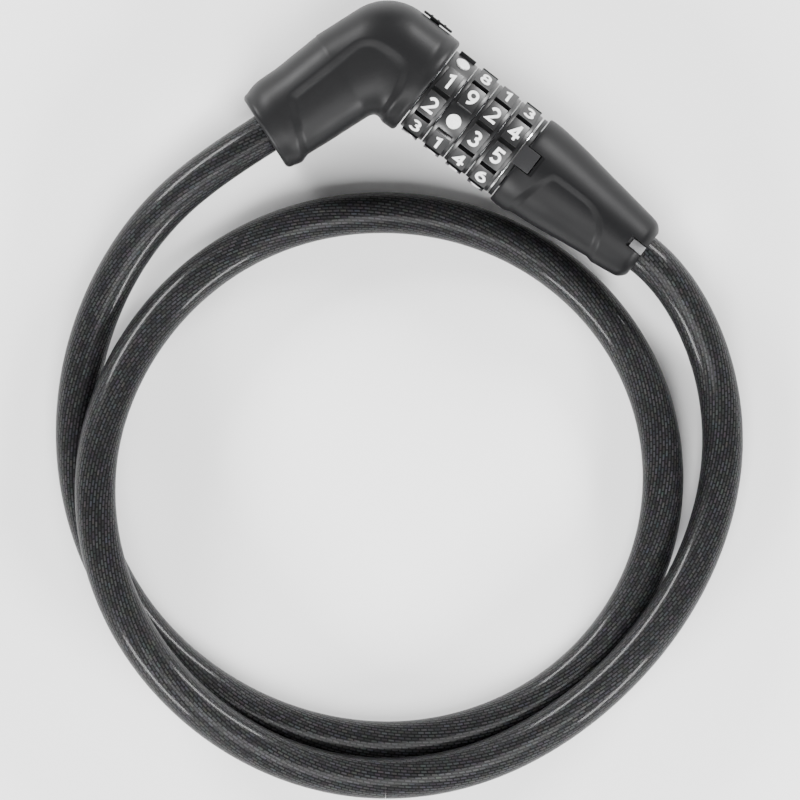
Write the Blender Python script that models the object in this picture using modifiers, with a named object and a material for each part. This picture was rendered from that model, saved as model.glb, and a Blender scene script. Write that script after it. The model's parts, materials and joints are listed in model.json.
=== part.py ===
"""Bicycle cable lock with four code dials, laid flat with its cable looped beside it.

The barrel axis runs along +X, from the elbow of the head to the plug. The arm of the head leaves the elbow
sideways and carries the fixed end of the cable; the other end is fixed in the plug. The origin is on the ground
under the elbow. Lengths below are in millimetres and angles in degrees, unless a name says otherwise.

Round pieces are drawn in the frame of an axis: "along" is the distance along it, and an "up-angle" turns from
straight up (0) towards the level side of the axis (+90), which is +Y on the barrel.
"""
from math import cos, hypot, pi, radians, sin, sqrt

import bmesh
import bpy
import numpy as np
from mathutils import Matrix

MM = 0.001
GAP = 0.3

# Layout
AXIS_HEIGHT = 19.0
ARM_HEADING = 250.2
INDEX_ANGLE = 3.9

# Dials
DIAL_COUNT = 4
DIAL_PITCH = 10.13
DIAL_START = 18.85
DIAL_WIDTH = 9.83
DIAL_RADIUS = 17.0
LAND_HEIGHT = 17.9
LAND_WIDTH = 9.7
LAND_ALONG = (1.53, 8.38)
DIGIT_STEP = 36.0
CODE = (2, 0, 3, 5)
CODE_ANGLE = -14.1
SPLINE_DEPTH = 2.3

# Clutch rings inside the dials
CLUTCH_START = 17.2
CLUTCH_LENGTH = 9.85
CLUTCH_RADIUS = 10.6
CLUTCH_TOOTH_RADIUS = 12.0
GATE_WIDTH = 3.8
GATE_RADIUS = 8.9

# Lock bolt and barrel
BOLT_RADIUS = 3.6
BOLT_TOOTH_RADIUS = 8.4
BOLT_TOOTH_WIDTH = 3.0
BOLT_ALONG = (16.0, 86.0)
TUBE_RADIUS = 7.0
TUBE_BORE = 3.9
PIN_RADIUS = 1.5

# Head cover
WALL = 2.2
CORNER_RADIUS = 20.3
HEAD_HALF_HEIGHT = 19.5
ELBOW_PIVOT = (12.0, -23.4)
ELBOW_FILLET = 3.0
SLIDER_ALONG = (0.6, 13.4)
STEM_ALONG = (3.8, 8.2)
RESET_TRAVEL = 2.0

# Cable
CABLE_RADIUS = 7.5
CABLE_HOLE = 7.9
RING_CENTRE = (97.5, -123.0)
ARM_CABLE_START = 42.0
ARM_LENGTH = 53.0
PLUG_CABLE_START = 108.1
PLUG_END = 118.2
SPLIT_BEARING = 667.8
TUBE_STEP = 18.0

# Route of the cable, looked at from above: (bearing round RING_CENTRE, distance from it, height)
ROUTE = (
    (165, 131.3, 16.8), (185, 125.1, 10.8), (205, 118.3, 7.8), (225, 111.6, 7.6), (245, 105.2, 7.6),
    (265, 99.5, 7.6), (285, 95.7, 7.6), (305, 94.1, 7.6), (325, 94.0, 7.6), (345, 95.1, 7.6),
    (370, 97.2, 7.6), (400, 99.2, 7.6), (430, 99.6, 7.6), (460, 99.0, 7.6), (490, 99.6, 7.8),
    (515, 101.9, 9.2), (535, 104.1, 12.3), (555, 106.4, 17.0), (570, 108.1, 20.9), (585, 108.8, 22.8),
    (600, 108.8, 22.9), (615, 108.4, 21.8), (630, 108.0, 19.9), (645, 107.8, 17.8), (665, 107.5, 16.2),
    (685, 106.6, 16.6), (705, 106.4, 18.0), (720, 108.1, 17.6), (735, 111.8, 14.6), (750, 116.8, 10.2),
    (763, 121.3, 8.0), (775, 124.4, 9.0), (787, 126.1, 13.8),
)

for leftover in list(bpy.data.objects):
    bpy.data.objects.remove(leftover)

PARTS = bpy.data.collections.new("cable_lock")
CUTTERS = bpy.data.collections.new("cutters")
bpy.context.scene.collection.children.link(PARTS)
bpy.context.scene.collection.children.link(CUTTERS)


# Materials

def make_material(name, color, roughness, metallic=0.0):
    material = bpy.data.materials.new(name)
    material.use_nodes = True
    shader = material.node_tree.nodes["Principled BSDF"]
    shader.inputs["Base Color"].default_value = (*color, 1.0)
    shader.inputs["Roughness"].default_value = roughness
    shader.inputs["Metallic"].default_value = metallic
    return material


SOFT_BLACK = make_material("soft_black_plastic", (0.012, 0.012, 0.013), 0.55)
DIAL_BLACK = make_material("dial_black_plastic", (0.010, 0.010, 0.011), 0.35)
GREY_PLASTIC = make_material("grey_plastic", (0.55, 0.56, 0.57), 0.5)
BLACK_RUBBER = make_material("black_rubber", (0.014, 0.014, 0.014), 0.7)
CABLE_SHEATH = make_material("black_sheath", (0.010, 0.011, 0.013), 0.2)
STEEL = make_material("steel", (0.62, 0.62, 0.64), 0.3, 1.0)
SPRING_STEEL = make_material("spring_steel", (0.45, 0.45, 0.47), 0.35, 1.0)
ZINC = make_material("zinc_alloy", (0.50, 0.50, 0.52), 0.45, 1.0)


# Helpers for frames, objects and modifiers

def axis_frame(name, height, heading=0.0):
    """Empty on a level axis over the origin: its local Z runs along the axis and its local X points down."""
    empty = bpy.data.objects.new(name, None)
    empty.location = (0.0, 0.0, height * MM)
    empty.rotation_euler = (0.0, pi / 2, radians(heading))
    PARTS.objects.link(empty)
    return empty


def add_object(name, mesh, parent=None, material=None):
    obj = bpy.data.objects.new(name, mesh)
    obj.parent = parent
    PARTS.objects.link(obj)
    if material is not None:
        mesh.materials.append(material)
    return obj


def boolean(obj, tool, operation="DIFFERENCE"):
    """Cut obj with tool, or join tool to it, and move tool to the hidden cutters."""
    if tool.name in PARTS.objects:
        PARTS.objects.unlink(tool)
        CUTTERS.objects.link(tool)
    tool.display_type = "WIRE"
    tool.hide_render = True
    modifier = obj.modifiers.new(tool.name, "BOOLEAN")
    modifier.operation = operation
    modifier.solver = "EXACT"
    modifier.object = tool


def turned(name, parent, profile, material=None, steps=30):
    """Piece turned about the parent's axis. The profile holds (along, radius) points: once round a closed
    outline, or from axis to axis for a piece without a bore."""
    solid = profile[0][1] == 0 and profile[-1][1] == 0
    pairs = zip(profile, profile[1:] + profile[:1])
    if sum(a0 * r1 - a1 * r0 for (a0, r0), (a1, r1) in pairs) < 0:
        profile = profile[::-1]
    points = [(radius * MM, 0.0, along * MM) for along, radius in profile]
    edges = [(i, i + 1) for i in range(len(points) - 1)]
    if not solid:
        edges.append((len(points) - 1, 0))
    mesh = bpy.data.meshes.new(name)
    mesh.from_pydata(points, edges, [])
    obj = add_object(name, mesh, parent, material)
    screw = obj.modifiers.new("turn", "SCREW")
    screw.axis = "Z"
    screw.steps = steps
    screw.render_steps = steps
    screw.use_merge_vertices = True
    screw.merge_threshold = 0.000001
    screw.use_smooth_shade = False
    return obj


def ring(name, parent, along, inner, outer, material=None, steps=30):
    start, end = along
    return turned(name, parent, [(start, inner), (start, outer), (end, outer), (end, inner)], material, steps)


def rod(name, parent, along, radius, material=None, steps=32, chamfer=0.0):
    start, end = along
    profile = [(start, 0), (start, radius - chamfer), (start + chamfer, radius),
               (end - chamfer, radius), (end, radius - chamfer), (end, 0)]
    if chamfer == 0.0:
        profile = [(start, 0), (start, radius), (end, radius), (end, 0)]
    return turned(name, parent, profile, material, steps)


def radial_boxes(name, parent, along, radius, width, angles, material=None):
    """Boxes that stand out from the parent's axis at the given up-angles."""
    depth = radius[1] - radius[0]
    length = along[1] - along[0]
    size = Matrix.Diagonal((depth * MM, width * MM, length * MM, 1.0))
    place = Matrix.Translation(((radius[0] + depth / 2) * MM, 0.0, (along[0] + length / 2) * MM))
    shape = bmesh.new()
    for angle in angles:
        turn = Matrix.Rotation(radians(180.0 - angle), 4, "Z")
        bmesh.ops.create_cube(shape, size=1.0, matrix=turn @ place @ size)
    mesh = bpy.data.meshes.new(name)
    shape.to_mesh(mesh)
    shape.free()
    return add_object(name, mesh, parent, material)


def block(name, parent, along, side, up, material=None):
    """Box in an axis frame: ranges along the axis, to its level side and up from it."""
    ranges = ((-up[1], -up[0]), side, along)
    size = Matrix.Diagonal([(high - low) * MM for low, high in ranges] + [1.0])
    place = Matrix.Translation([(low + high) / 2 * MM for low, high in ranges])
    shape = bmesh.new()
    bmesh.ops.create_cube(shape, size=1.0, matrix=place @ size)
    mesh = bpy.data.meshes.new(name)
    shape.to_mesh(mesh)
    shape.free()
    return add_object(name, mesh, parent, material)


def upright_rod(name, parent, along, radius, half_length, material=None):
    """Straight pin that crosses the parent's axis vertically."""
    shape = bmesh.new()
    place = Matrix.Translation((0.0, 0.0, along * MM)) @ Matrix.Rotation(pi / 2, 4, "Y")
    bmesh.ops.create_cone(shape, cap_ends=True, segments=24, radius1=radius * MM, radius2=radius * MM,
                          depth=2 * half_length * MM, matrix=place)
    mesh = bpy.data.meshes.new(name)
    shape.to_mesh(mesh)
    shape.free()
    return add_object(name, mesh, parent, material)


def wire(name, parent, points, radius, material, resolution):
    """Round wire or tube through points, in metres, with closed ends."""
    curve = bpy.data.curves.new(name, "CURVE")
    curve.dimensions = "3D"
    curve.bevel_depth = radius * MM
    curve.bevel_resolution = resolution
    curve.use_fill_caps = True
    spline = curve.splines.new("POLY")
    spline.points.add(len(points) - 1)
    for target, point in zip(spline.points, points):
        target.co = (*point, 1.0)
    curve.materials.append(material)
    obj = bpy.data.objects.new(name, curve)
    obj.parent = parent
    PARTS.objects.link(obj)
    return obj


def coil_spring(name, parent, along, radius, wire_radius, turns, material):
    """Compression spring about the parent's axis, between two faces."""
    per_turn = 9
    start = along[0] + wire_radius
    rise = along[1] - along[0] - 2 * wire_radius
    points = []
    for i in range(int(turns * per_turn) + 1):
        share = i / (turns * per_turn)
        angle = radians(360.0 * turns * share)
        points.append((radius * cos(angle) * MM, radius * sin(angle) * MM, (start + rise * share) * MM))
    return wire(name, parent, points, wire_radius, material, 1)


BARREL = axis_frame("barrel_axis", AXIS_HEIGHT)
ARM = axis_frame("arm_axis", AXIS_HEIGHT, ARM_HEADING)
ARM_DIRECTION = (cos(radians(ARM_HEADING)), sin(radians(ARM_HEADING)))
ARM_SIDE = (-ARM_DIRECTION[1], ARM_DIRECTION[0])


# Head cover: two shells of one lofted elbow

def superellipse(count, power):
    """Points round a unit superellipse, as (level, upright)."""
    points = []
    for i in range(count):
        angle = 2 * pi * i / count
        c = cos(angle)
        s = sin(angle)
        points.append((abs(c) ** (2 / power) * (1 if c >= 0 else -1), abs(s) ** (2 / power) * (1 if s >= 0 else -1)))
    return points


def smooth_step(value):
    value = min(max(value, 0.0), 1.0)
    return value * value * (3 - 2 * value)


def elbow_reach(turn):
    """Distance from the elbow pivot to the outer wall, for a section turned by this angle: the wall runs
    straight along the barrel, round the elbow and straight along the arm."""
    px, py = ELBOW_PIVOT
    dx = -sin(radians(turn))
    dy = cos(radians(turn))
    if dy > 0 and px + (CORNER_RADIUS - py) / dy * dx >= 0:
        return (CORNER_RADIUS - py) / dy
    side_of_pivot = px * ARM_SIDE[0] + py * ARM_SIDE[1]
    side_of_ray = dx * ARM_SIDE[0] + dy * ARM_SIDE[1]
    straight = -(CORNER_RADIUS + side_of_pivot) / side_of_ray
    if (px + straight * dx) * ARM_DIRECTION[0] + (py + straight * dy) * ARM_DIRECTION[1] >= 0:
        return straight
    middle = px * dx + py * dy
    return -middle + sqrt(middle * middle - (px * px + py * py - CORNER_RADIUS ** 2))


def head_sections():
    """Sections of the head as (foot point, direction, inner, outer, half height, power): the foot point is on
    the section's line, and inner and outer are distances from it along the direction."""
    up = (0.0, 1.0)
    sections = [
        ((18.5, 0.0), up, -15.8, 15.8, 15.8, 2.0),
        ((18.5, 0.0), up, -18.8, 18.8, 18.2, 2.0),
        ((17.2, 0.0), up, -20.2, 20.2, 19.2, 2.05),
        ((14.6, 0.0), up, -20.4, 20.3, 19.4, 2.3),
    ]
    bend = ARM_HEADING - 180.0
    steps = 9
    for i in range(steps + 1):
        turn = bend * i / steps
        direction = (-sin(radians(turn)), cos(radians(turn)))
        height = HEAD_HALF_HEIGHT - 1.1 * smooth_step((turn - 35.0) / 35.0)
        sections.append((ELBOW_PIVOT, direction, ELBOW_FILLET, elbow_reach(turn), height, 2.6))
    across = (-ARM_SIDE[0], -ARM_SIDE[1])
    arm_rows = (
        (23.0, -16.2, 19.5, 18.2, 2.6), (28.6, -16.2, 18.9, 17.9, 2.55), (37.8, -16.2, 17.9, 17.3, 2.5),
        (44.0, -16.1, 17.6, 16.9, 2.4), (48.5, -15.9, 16.8, 16.6, 2.3), (51.6, -15.2, 15.4, 15.7, 2.2),
        (ARM_LENGTH, -13.8, 13.9, 14.0, 2.1), (ARM_LENGTH, -CABLE_HOLE, CABLE_HOLE, CABLE_HOLE, 2.0),
    )
    for along, inner, outer, height, power in arm_rows:
        foot = (ARM_DIRECTION[0] * along, ARM_DIRECTION[1] * along)
        sections.append((foot, across, inner, outer, height, power))
    return sections


def head_cover_mesh(name):
    """Outer skin of the head, from the dial side to the cable hole."""
    around = 32
    shape = bmesh.new()
    rows = []
    for foot, direction, inner, outer, height, power in head_sections():
        middle = (inner + outer) / 2
        half = (outer - inner) / 2
        row = []
        for level, upright in superellipse(around, power):
            reach = middle + half * level
            z = max(AXIS_HEIGHT + height * upright, 0.0)
            row.append(shape.verts.new(((foot[0] + direction[0] * reach) * MM,
                                        (foot[1] + direction[1] * reach) * MM, z * MM)))
        rows.append(row)
    for before, after in zip(rows, rows[1:]):
        for i in range(around):
            j = (i + 1) % around
            shape.faces.new((before[i], after[i], after[j], before[j]))
    mesh = bpy.data.meshes.new(name)
    shape.to_mesh(mesh)
    shape.free()
    return mesh


def make_head_cover():
    window_along = (STEM_ALONG[0] - GAP, STEM_ALONG[1] + RESET_TRAVEL + GAP)
    window = block("slider_window", BARREL, window_along, (16.0, 26.0), (-3.3, 3.3))
    for name, removed in (("head_cover_top", (-40.0, GAP / 2)), ("head_cover_bottom", (-GAP / 2, 40.0))):
        cover = add_object(name, head_cover_mesh(name), None, SOFT_BLACK)
        shell = cover.modifiers.new("wall", "SOLIDIFY")
        shell.thickness = WALL * MM
        shell.offset = -1.0
        shell.use_even_offset = True
        half = block(name + "_other_half", BARREL, (-90.0, 90.0), (-90.0, 90.0), removed)
        boolean(cover, window)
        boolean(cover, half)


# Fixed pieces in the head and the barrel

def make_head_core():
    core = rod("head_core", BARREL, (-9.0, 13.5), 14.6, ZINC, 32)
    boolean(core, rod("core_arm", ARM, (0.0, 38.0), 12.5), "UNION")
    boolean(core, rod("core_barrel_bore", BARREL, (-6.0, 20.0), 7.3))
    boolean(core, rod("core_ferrule_bore", ARM, (14.0, 45.0), 10.1))
    boolean(core, upright_rod("core_pin_hole", ARM, 30.0, PIN_RADIUS + GAP, 20.0))


def make_barrel():
    groove = (66.9, 68.5)
    outline = [(-5.5, TUBE_BORE), (-5.5, TUBE_RADIUS), (groove[0], TUBE_RADIUS), (groove[0], 6.0),
               (groove[1], 6.0), (groove[1], TUBE_RADIUS), (69.6, TUBE_RADIUS), (69.6, TUBE_BORE)]
    tube = turned("barrel_tube", BARREL, outline, STEEL, 32)
    boolean(tube, radial_boxes("tube_slot", BARREL, (14.0, 72.0), (2.0, 9.0), 3.4, [INDEX_ANGLE]))
    boolean(tube, radial_boxes("tube_spring_groove", BARREL, (16.5, 57.5), (6.0, 9.0), 3.2, [INDEX_ANGLE + 180.0]))


def make_detent_spring():
    """Leaf in the groove of the tube, with a bump under the web of every clutch ring."""
    low = 6.15
    leaf = radial_boxes("detent_spring", BARREL, (17.0, 57.0), (low, low + 0.4), 2.4, [INDEX_ANGLE + 180.0],
                        SPRING_STEEL)
    for i in range(DIAL_COUNT):
        web = CLUTCH_START + i * DIAL_PITCH + 7.9
        bump = radial_boxes("detent_bump_%d" % (i + 1), BARREL, (web - 0.9, web + 0.9), (low + 0.1, low + 0.9),
                            1.8, [INDEX_ANGLE + 180.0])
        boolean(leaf, bump, "UNION")


def make_collar():
    """Last wall of the barrel: it carries the index mark and the seat of the reset spring."""
    outline = [(59.65, 11.2), (59.65, 17.0), (61.3, 17.0), (61.3, 12.5), (67.0, 12.5), (67.0, 7.3),
               (65.8, 7.3), (65.8, 11.2)]
    collar = turned("index_collar", BARREL, outline, SOFT_BLACK)
    tab = radial_boxes("index_tab", BARREL, (59.75, 66.8), (12.0, 18.3), 8.2, [INDEX_ANGLE])
    boolean(collar, tab, "UNION")
    gate = radial_boxes("collar_gate", BARREL, (65.0, 68.0), (5.0, GATE_RADIUS), GATE_WIDTH, [INDEX_ANGLE])
    boolean(collar, gate)
    clip = ring("collar_clip", BARREL, (67.3, 68.2), 6.25, 9.5, SPRING_STEEL, 32)
    boolean(clip, radial_boxes("clip_mouth", BARREL, (66.0, 69.0), (2.0, 12.0), 5.0, [INDEX_ANGLE]))
    ring("thrust_washer", BARREL, (59.2, 59.5), 11.6, 16.9, STEEL)


def make_springs():
    coil_spring("ejector_spring", BARREL, (-5.2, 15.7), 2.8, 0.35, 7, SPRING_STEEL)
    coil_spring("reset_spring", BARREL, (57.8, 65.5), 9.7, 0.6, 3.5, SPRING_STEEL)


def make_head_cable_end():
    pin_at = 30.0
    ferrule = ring("head_ferrule", ARM, (20.0, ARM_CABLE_START - GAP), 4.6, 9.8, STEEL, 32)
    rope_end = rod("head_rope_end", ARM, (22.0, ARM_CABLE_START - GAP), 4.3, STEEL, 24)
    hole = upright_rod("head_pin_hole", ARM, pin_at, PIN_RADIUS + GAP, 20.0)
    boolean(ferrule, hole)
    boolean(rope_end, hole)
    upright_rod("head_ferrule_pin", ARM, pin_at, PIN_RADIUS, 11.8, STEEL)
    ring("head_grommet", ARM, (44.0, 50.3), 7.8, 11.0, BLACK_RUBBER)


# Dials, clutch rings and the code-set slider

def cell_angles(first, last):
    """Up-angles of the cells of a dial, counted from its plain cell."""
    return [DIGIT_STEP * cell for cell in range(first, last + 1)]


def make_dial(number):
    """Dial with nine raised digit lands; its tenth cell is plain. The read digit faces CODE_ANGLE."""
    start = DIAL_START + (number - 1) * DIAL_PITCH
    plain = CODE_ANGLE + DIGIT_STEP * CODE[number - 1]
    end = start + DIAL_WIDTH
    splined = start + SPLINE_DEPTH
    outline = [(start, 10.9), (start, DIAL_RADIUS - 0.3), (start + 0.3, DIAL_RADIUS), (end - 0.3, DIAL_RADIUS),
               (end, DIAL_RADIUS - 0.3), (end, 12.4), (splined, 12.4), (splined, 10.9)]
    name = "code_dial_%d" % number
    dial = turned(name, BARREL, outline, DIAL_BLACK, 30)
    along = (start + LAND_ALONG[0], start + LAND_ALONG[1])
    lands = radial_boxes(name + "_lands", BARREL, along, (15.6, LAND_HEIGHT), LAND_WIDTH,
                         [plain - step for step in cell_angles(1, 9)])
    boolean(dial, lands, "UNION")
    splines = radial_boxes(name + "_splines", BARREL, (start - 1.0, splined), (9.0, 12.4), 3.0,
                           [plain - step for step in cell_angles(0, 9)])
    boolean(dial, splines)


def make_clutch_ring(number):
    """Ring with ten teeth that follows its dial, and one gate that lets a bolt tooth through."""
    start = CLUTCH_START + (number - 1) * DIAL_PITCH
    end = start + CLUTCH_LENGTH
    web = start + 6.0
    outline = [(start, GATE_RADIUS), (start, CLUTCH_RADIUS), (end, CLUTCH_RADIUS), (end, 7.35), (web, 7.35),
               (web, GATE_RADIUS)]
    name = "clutch_ring_%d" % number
    clutch = turned(name, BARREL, outline, ZINC, 24)
    teeth = radial_boxes(name + "_teeth", BARREL, (start + 2.15, start + 3.65), (9.8, CLUTCH_TOOTH_RADIUS), 2.4,
                         [CODE_ANGLE + step for step in cell_angles(0, 9)])
    boolean(clutch, teeth, "UNION")
    gate = radial_boxes(name + "_gate", BARREL, (web - 1.0, end + 1.0), (5.0, GATE_RADIUS), GATE_WIDTH,
                        [INDEX_ANGLE])
    boolean(clutch, gate)


def make_reset_slider():
    slider = block("code_set_slider", BARREL, SLIDER_ALONG, (20.7, 21.7), (-4.5, 4.5), DIAL_BLACK)
    boolean(slider, block("slider_stem", BARREL, STEM_ALONG, (17.9, 21.0), (-3.0, 3.0)), "UNION")
    for i in range(3):
        along = SLIDER_ALONG[0] + 3.4 + 3.0 * i
        rib = block("slider_rib_%d" % (i + 1), BARREL, (along - 0.5, along + 0.5), (21.2, 22.0), (-3.6, 3.6))
        boolean(slider, rib, "UNION")
    outline = [(14.5, 7.4), (14.5, 12.5), (16.2, 12.5), (16.2, 10.3), (16.9, 10.3), (16.9, 7.4)]
    fork = turned("reset_fork", BARREL, outline, ZINC, 32)
    boolean(fork, block("fork_arm", BARREL, (13.8, 16.0), (11.0, 15.3), (-3.0, 3.0)), "UNION")
    boolean(fork, block("fork_foot", BARREL, (4.0, 14.0), (15.0, 17.5), (-3.0, 3.0)), "UNION")


# Plug

def make_plug_cover():
    outer = [(61.6, 17.9), (62.3, 18.3), (64.0, 18.5), (67.5, 18.45), (80.7, 17.2), (90.8, 15.8), (100.8, 14.5),
             (107.7, 13.6), (114.6, 12.6), (117.2, 11.0), (PLUG_END, 9.4)]
    inner = [(PLUG_END, CABLE_HOLE), (117.1, CABLE_HOLE), (117.1, 10.0), (110.2, 10.0), (108.5, 11.2),
             (100.8, 12.1), (90.8, 13.4), (80.7, 14.8), (67.5, 16.1), (61.6, 15.6)]
    cover = turned("plug_cover", BARREL, outer + inner, SOFT_BLACK, 36)
    boolean(cover, radial_boxes("index_notch", BARREL, (60.0, 68.6), (13.0, 21.0), 8.8, [INDEX_ANGLE]))
    boolean(cover, radial_boxes("snap_slot", BARREL, (111.2, 120.0), (6.0, 14.0), 4.2, [INDEX_ANGLE]))


def make_plug_inside():
    pins = (80.0, 97.0)
    outline = [(70.2, TUBE_BORE), (70.2, 15.1), (73.2, 15.1), (73.2, 11.6), (98.0, 11.6), (104.0, 10.8),
               (104.0, 9.1), (88.2, 9.1), (88.2, TUBE_BORE)]
    core = turned("plug_core", BARREL, outline, ZINC)
    bolt = rod("lock_bolt", BARREL, BOLT_ALONG, BOLT_RADIUS, STEEL, 24, 0.8)
    for i in range(DIAL_COUNT):
        tooth_at = CLUTCH_START + i * DIAL_PITCH + 2.5
        tooth = radial_boxes("bolt_tooth_%d" % (i + 1), BARREL, (tooth_at, tooth_at + 2.0),
                             (1.0, BOLT_TOOTH_RADIUS), BOLT_TOOTH_WIDTH, [INDEX_ANGLE])
        boolean(bolt, tooth, "UNION")
    ferrule = ring("plug_ferrule", BARREL, (88.5, PLUG_CABLE_START - 2 * GAP), 4.6, 8.8, STEEL, 32)
    rope_end = rod("plug_rope_end", BARREL, (90.0, PLUG_CABLE_START - GAP), 4.3, STEEL, 24)
    bolt_hole = upright_rod("bolt_pin_hole", BARREL, pins[0], PIN_RADIUS + GAP, 25.0)
    rope_hole = upright_rod("rope_pin_hole", BARREL, pins[1], PIN_RADIUS + GAP, 25.0)
    boolean(core, bolt_hole)
    boolean(bolt, bolt_hole)
    for piece in (core, ferrule, rope_end):
        boolean(piece, rope_hole)
    upright_rod("bolt_pin", BARREL, pins[0], PIN_RADIUS, 10.9, STEEL)
    upright_rod("plug_ferrule_pin", BARREL, pins[1], PIN_RADIUS, 10.9, STEEL)
    retainer = ring("cap_retainer", BARREL, (110.6, 116.8), 7.8, 9.7, GREY_PLASTIC, 32)
    tab = radial_boxes("snap_tab", BARREL, (112.2, 116.8), (9.0, 11.4), 3.6, [INDEX_ANGLE])
    boolean(retainer, tab, "UNION")


# Cable

def clamped_spline(knots, values, first_slope, last_slope):
    """Cubic spline with given end slopes, returned as a function."""
    knots = np.array(knots, float)
    values = np.array(values, float)
    step = np.diff(knots)
    rise = np.diff(values) / step
    count = len(knots)
    matrix = np.zeros((count, count))
    target = np.zeros(count)
    matrix[0, 0] = 1.0
    target[0] = first_slope
    matrix[-1, -1] = 1.0
    target[-1] = last_slope
    for i in range(1, count - 1):
        matrix[i, i - 1] = step[i]
        matrix[i, i] = 2 * (step[i - 1] + step[i])
        matrix[i, i + 1] = step[i - 1]
        target[i] = 3 * (step[i] * rise[i - 1] + step[i - 1] * rise[i])
    slope = np.linalg.solve(matrix, target)

    def evaluate(x):
        i = int(np.clip(np.searchsorted(knots, x) - 1, 0, count - 2))
        h = step[i]
        s = (x - knots[i]) / h
        return ((1 + 2 * s) * (1 - s) ** 2 * values[i] + s * (1 - s) ** 2 * h * slope[i]
                + s * s * (3 - 2 * s) * values[i + 1] + s * s * (s - 1) * h * slope[i + 1])

    return evaluate


def polar(point, turns):
    """Bearing in degrees, with this many full turns added, and distance of a point from RING_CENTRE."""
    x = point[0] - RING_CENTRE[0]
    y = point[1] - RING_CENTRE[1]
    return np.degrees(np.arctan2(y, x)) % 360 + 360 * turns, hypot(x, y)


def radial_slope(bearing, distance, heading):
    """Change of distance per degree of bearing for a path with this heading that goes round anticlockwise."""
    lean = radians(heading - bearing - 90.0)
    return -distance * np.tan(lean) * radians(1.0)


def cable_points(step):
    """Centre line of the whole cable, in mm, from the head to the plug, at about this spacing."""
    start = (ARM_DIRECTION[0] * ARM_LENGTH, ARM_DIRECTION[1] * ARM_LENGTH)
    end = (PLUG_END, 0.0)
    start_bearing, start_distance = polar(start, 0)
    end_bearing, end_distance = polar(end, 2)
    bearings = [start_bearing] + [row[0] for row in ROUTE] + [end_bearing]
    distances = [start_distance] + [row[1] for row in ROUTE] + [end_distance]
    heights = [AXIS_HEIGHT] + [row[2] for row in ROUTE] + [AXIS_HEIGHT]
    distance_at = clamped_spline(bearings, distances, radial_slope(start_bearing, start_distance, ARM_HEADING),
                                 radial_slope(end_bearing, end_distance, 180.0 + 720.0))
    height_at = clamped_spline(bearings, heights, 0.0, 0.0)
    fine = []
    for bearing in np.linspace(start_bearing, end_bearing, 2000):
        distance = distance_at(bearing)
        fine.append((RING_CENTRE[0] + distance * cos(radians(bearing)),
                     RING_CENTRE[1] + distance * sin(radians(bearing)), height_at(bearing), bearing))
    fine = np.array(fine)
    travelled = np.concatenate([[0.0], np.cumsum(np.linalg.norm(np.diff(fine[:, :3], axis=0), axis=1))])
    count = int(round(travelled[-1] / step)) + 1
    at = np.linspace(0.0, travelled[-1], count)
    outside = np.column_stack([np.interp(at, travelled, fine[:, i]) for i in range(4)])
    inside_arm = (ARM_DIRECTION[0] * ARM_CABLE_START, ARM_DIRECTION[1] * ARM_CABLE_START, AXIS_HEIGHT, 0.0)
    inside_plug = (PLUG_CABLE_START, 0.0, AXIS_HEIGHT, 999.0)
    return np.vstack([inside_arm, outside, inside_plug])


def make_cable():
    """Cable in two pieces that meet face to face: the far one travels with the plug."""
    points = cable_points(TUBE_STEP)
    split = int(np.searchsorted(points[:, 3], SPLIT_BEARING))
    centres = points[:, :3]
    along = centres[split + 1] - centres[split - 1]
    along /= np.linalg.norm(along)
    end_run = np.outer((3.0, GAP / 2), along)
    main = np.vstack([centres[:split], centres[split] - end_run])
    run = np.vstack([centres[split] + end_run[::-1], centres[split + 1:]])
    wire("cable_main", None, [tuple(p * MM) for p in main], CABLE_RADIUS, CABLE_SHEATH, 4)
    wire("cable_plug_run", None, [tuple(p * MM) for p in run], CABLE_RADIUS, CABLE_SHEATH, 4)


def main():
    make_head_cover()
    make_head_core()
    make_barrel()
    make_detent_spring()
    make_collar()
    make_springs()
    make_head_cable_end()
    for number in range(1, DIAL_COUNT + 1):
        make_dial(number)
        make_clutch_ring(number)
    make_reset_slider()
    make_plug_cover()
    make_plug_inside()
    make_cable()


main()
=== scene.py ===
"""Looks of the cable lock: fine shells, dials with raised digits, the stranded cable and a pale studio.

Lengths are in millimetres and angles in degrees, unless a name says otherwise. On the barrel, "along" is the
distance from the elbow and an up-angle turns from straight up towards +Y.
"""
import json
from math import cos, hypot, pi, radians, sin, sqrt

import bmesh
import bpy
import numpy as np
from mathutils import Matrix, Vector


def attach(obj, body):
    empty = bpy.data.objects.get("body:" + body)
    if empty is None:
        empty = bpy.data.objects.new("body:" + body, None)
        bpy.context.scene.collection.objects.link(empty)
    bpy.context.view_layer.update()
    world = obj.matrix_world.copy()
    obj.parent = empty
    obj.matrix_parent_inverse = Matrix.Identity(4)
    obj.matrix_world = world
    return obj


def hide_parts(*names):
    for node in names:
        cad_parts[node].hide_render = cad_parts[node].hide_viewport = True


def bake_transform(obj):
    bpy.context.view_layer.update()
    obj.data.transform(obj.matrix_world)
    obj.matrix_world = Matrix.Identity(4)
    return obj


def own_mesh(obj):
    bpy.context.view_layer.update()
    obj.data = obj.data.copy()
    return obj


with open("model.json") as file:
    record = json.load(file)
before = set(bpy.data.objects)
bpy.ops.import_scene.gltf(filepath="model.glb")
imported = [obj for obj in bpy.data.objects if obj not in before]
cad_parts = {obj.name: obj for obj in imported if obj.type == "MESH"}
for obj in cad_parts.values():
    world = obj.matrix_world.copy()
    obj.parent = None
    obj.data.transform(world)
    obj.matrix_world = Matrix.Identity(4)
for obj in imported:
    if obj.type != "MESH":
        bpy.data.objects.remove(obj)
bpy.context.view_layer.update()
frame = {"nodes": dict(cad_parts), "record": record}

MM = 0.001

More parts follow.
